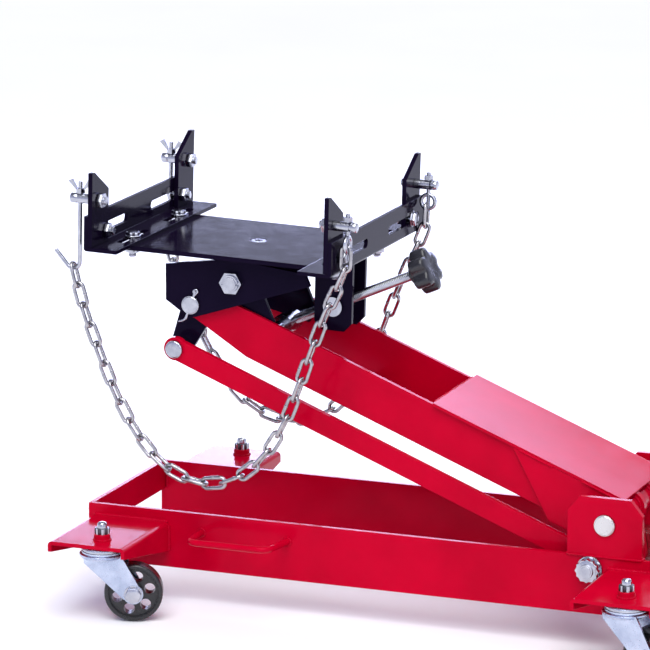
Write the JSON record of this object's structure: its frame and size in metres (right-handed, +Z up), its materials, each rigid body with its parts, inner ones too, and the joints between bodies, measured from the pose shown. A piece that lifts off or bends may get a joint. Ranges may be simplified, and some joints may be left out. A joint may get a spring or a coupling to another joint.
{
  "type": "transmission jack",
  "caption": "Low wheeled transmission jack: hydraulic lifting arm with level-keeping links, tilting saddle with posts and restraint chains, swivel casters.",
  "frame": {"origin": "on the floor, under the middle of the jack's outline", "axes": "+X to the pump handle end, +Y to the operator's right, +Z up"},
  "size_m": [1.3726, 0.5375, 0.8785],
  "materials": {
    "red_paint": "gloss",
    "black_paint": "gloss",
    "zinc": "bright zinc plate",
    "fork_zinc": "satin zinc plate",
    "steel": "turned",
    "wheel_black": "satin",
    "knob_black": "moulded",
    "grip_rubber": "matt",
    "chain_zinc": "zinc plate"
  },
  "bodies": {
    "chassis": {"left_rail": "red_paint", "right_rail": "red_paint", "cross_plates": "red_paint", "front_left_outrigger": "red_paint", "front_right_outrigger": "red_paint", "rear_left_outrigger": "red_paint", "rear_right_outrigger": "red_paint", "pivot_ears": "red_paint", "grab_handles": "red_paint", "arm_shaft": "steel", "link_pivot_bolts": "zinc", "caster_studs": "zinc", "power_unit_plate": "red_paint", "power_unit_blocks": "red_paint", "ram_cylinder": "red_paint", "handle_bracket": "red_paint"},
    "lift_arm": {"left_arm_plate": "red_paint", "right_arm_plate": "red_paint", "arm_floor_plate": "red_paint", "arm_cover_plate": "red_paint", "arm_doublers": "red_paint", "arm_hub": "red_paint", "lift_crank": "red_paint", "arm_head_pin": "zinc"},
    "links": {"lower_links": "red_paint"},
    "head": {"head_plates": "black_paint", "head_coupler": "black_paint", "link_front_pins": "zinc", "tilt_hinge_bolt": "zinc"},
    "screw_swivel": {"screw_anchor": "zinc"},
    "tilt_screw": {"tilt_screw": "zinc", "tilt_knob": "knob_black"},
    "saddle": {"saddle_deck": "black_paint", "trunnion_clevis": "black_paint", "saddle_bolts": "zinc", "front_bracket": "black_paint", "rear_bracket": "black_paint"},
    "trunnion": {"trunnion": "zinc"},
    "left_posts": {"left_posts": "black_paint", "left_post_bolts": "zinc"},
    "right_posts": {"right_posts": "black_paint", "right_post_bolts": "zinc"},
    "left_chain_set": {"left_chain_bolts": "zinc", "left_chain": "chain_zinc"},
    "right_chain_set": {"right_chain_bolts": "zinc", "right_chain": "chain_zinc"},
    "lift_ram": {"lift_ram": "steel"},
    "pump_handle": {"handle_socket": "red_paint", "pump_handle": "red_paint", "handle_grip": "grip_rubber"},
    "pump_plunger": {"pump_plunger": "steel"},
    "release_valve": {"release_valve": "knob_black"},
    "front_left_fork": {"front_left_caster_fork": "fork_zinc"},
    "front_left_wheel": {"front_left_caster_wheel": "wheel_black"},
    "front_right_fork": {"front_right_caster_fork": "fork_zinc"},
    "front_right_wheel": {"front_right_caster_wheel": "wheel_black"},
    "rear_left_fork": {"rear_left_caster_fork": "fork_zinc"},
    "rear_left_wheel": {"rear_left_caster_wheel": "wheel_black"},
    "rear_right_fork": {"rear_right_caster_fork": "fork_zinc"},
    "rear_right_wheel": {"rear_right_caster_wheel": "wheel_black"}
  },
  "joints": [
    {"name": "lift", "type": "hinge", "parent": "chassis", "child": "lift_arm", "pos_m": [0.0604, 0, 0.1625], "axis": [0, 1, 0], "range_deg": [-21.5, 40], "deforming": ["left_chain", "right_chain"]},
    {"name": "head_level", "type": "hinge", "parent": "lift_arm", "child": "head", "pos_m": [-0.51932, 0, 0.39203], "axis": [0, 1, 0], "range_deg": [-40.5, 22]},
    {"name": "link_swing", "type": "hinge", "parent": "chassis", "child": "links", "pos_m": [0.0414, 0, 0.104], "axis": [0, 1, 0], "range_deg": [-22, 40.5]},
    {"name": "ram_stroke", "type": "slide", "parent": "chassis", "child": "lift_ram", "axis": [-1, 0, 0], "range_m": [-0.0225, 0.0405]},
    {"name": "saddle_tilt", "type": "hinge", "parent": "head", "child": "saddle", "pos_m": [-0.46132, 0, 0.42603], "axis": [0, 1, 0], "range_deg": [-9, 4.5]},
    {"name": "screw_swing", "type": "hinge", "parent": "head", "child": "screw_swivel", "pos_m": [-0.41932, 0, 0.35853], "axis": [0, 1, 0], "range_deg": [-10.08, 5.14]},
    {"name": "knob_turn", "type": "hinge", "parent": "screw_swivel", "child": "tilt_screw", "pos_m": [-0.41932, 0, 0.35853], "axis": [0.915, 0, 0.4035], "range_deg": [-1789, 897]},
    {"name": "trunnion_turn", "type": "hinge", "parent": "saddle", "child": "trunnion", "pos_m": [-0.34432, 0, 0.3916], "axis": [0, 1, 0], "range_deg": [-2.5, 2.5]},
    {"name": "left_posts_slide", "type": "slide", "parent": "saddle", "child": "left_posts", "axis": [0, 1, 0], "range_m": [-0.02, 0.06]},
    {"name": "right_posts_slide", "type": "slide", "parent": "saddle", "child": "right_posts", "axis": [0, 1, 0], "range_m": [-0.06, 0.02]},
    {"name": "left_chain_swing", "type": "hinge", "parent": "left_posts", "child": "left_chain_set", "pos_m": [-0.63532, -0.147, 0.53459], "axis": [0.9997, 0, -0.0262], "range_deg": [-80, 6]},
    {"name": "right_chain_swing", "type": "hinge", "parent": "right_posts", "child": "right_chain_set", "pos_m": [-0.63532, 0.147, 0.53459], "axis": [0.9997, 0, -0.0262], "range_deg": [-6, 80]},
    {"name": "front_left_swivel", "type": "hinge", "parent": "chassis", "child": "front_left_fork", "pos_m": [-0.5831, -0.234, 0.09], "axis": [0, 0, 1], "continuous": true},
    {"name": "front_left_roll", "type": "hinge", "parent": "front_left_fork", "child": "front_left_wheel", "pos_m": [-0.54576, -0.21966, 0.038], "axis": [-0.3584, 0.9336, 0], "continuous": true},
    {"name": "front_right_swivel", "type": "hinge", "parent": "chassis", "child": "front_right_fork", "pos_m": [-0.5831, 0.234, 0.09], "axis": [0, 0, 1], "continuous": true},
    {"name": "front_right_roll", "type": "hinge", "parent": "front_right_fork", "child": "front_right_wheel", "pos_m": [-0.54359, 0.22774, 0.038], "axis": [0.1564, 0.9877, 0], "continuous": true},
    {"name": "rear_left_swivel", "type": "hinge", "parent": "chassis", "child": "rear_left_fork", "pos_m": [0.1259, -0.234, 0.09], "axis": [0, 0, 1], "continuous": true},
    {"name": "rear_left_roll", "type": "hinge", "parent": "rear_left_fork", "child": "rear_left_wheel", "pos_m": [0.16471, -0.24368, 0.038], "axis": [0.2419, 0.9703, 0], "continuous": true},
    {"name": "rear_right_swivel", "type": "hinge", "parent": "chassis", "child": "rear_right_fork", "pos_m": [0.1259, 0.234, 0.09], "axis": [0, 0, 1], "continuous": true},
    {"name": "rear_right_roll", "type": "hinge", "parent": "rear_right_fork", "child": "rear_right_wheel", "pos_m": [0.16503, 0.24232, 0.038], "axis": [-0.2079, 0.9781, 0], "continuous": true},
    {"name": "pump_stroke", "type": "hinge", "parent": "chassis", "child": "pump_handle", "pos_m": [0.2869, 0, 0.205], "axis": [0, 1, 0], "range_deg": [0, 35]},
    {"name": "plunger_stroke", "type": "slide", "parent": "chassis", "child": "pump_plunger", "axis": [0, 0, 1], "range_m": [0, 0.0197]},
    {"name": "valve_turn", "type": "hinge", "parent": "chassis", "child": "release_valve", "pos_m": [0.2619, -0.05, 0.096], "axis": [0, 1, 0], "range_deg": [0, 180]}
  ],
  "couplings": [
    {"joint": "head_level", "follows": "lift", "ratio": -1},
    {"joint": "link_swing", "follows": "lift", "ratio": 1},
    {"joint": "ram_stroke", "follows": "lift", "m_per_rad": 0.0573},
    {"joint": "screw_swing", "follows": "saddle_tilt", "ratio": 1.098},
    {"joint": "knob_turn", "follows": "saddle_tilt", "ratio": 198.25},
    {"joint": "trunnion_turn", "follows": "saddle_tilt", "ratio": 0.098},
    {"joint": "plunger_stroke", "follows": "pump_stroke", "m_per_rad": 0.032}
  ]
}
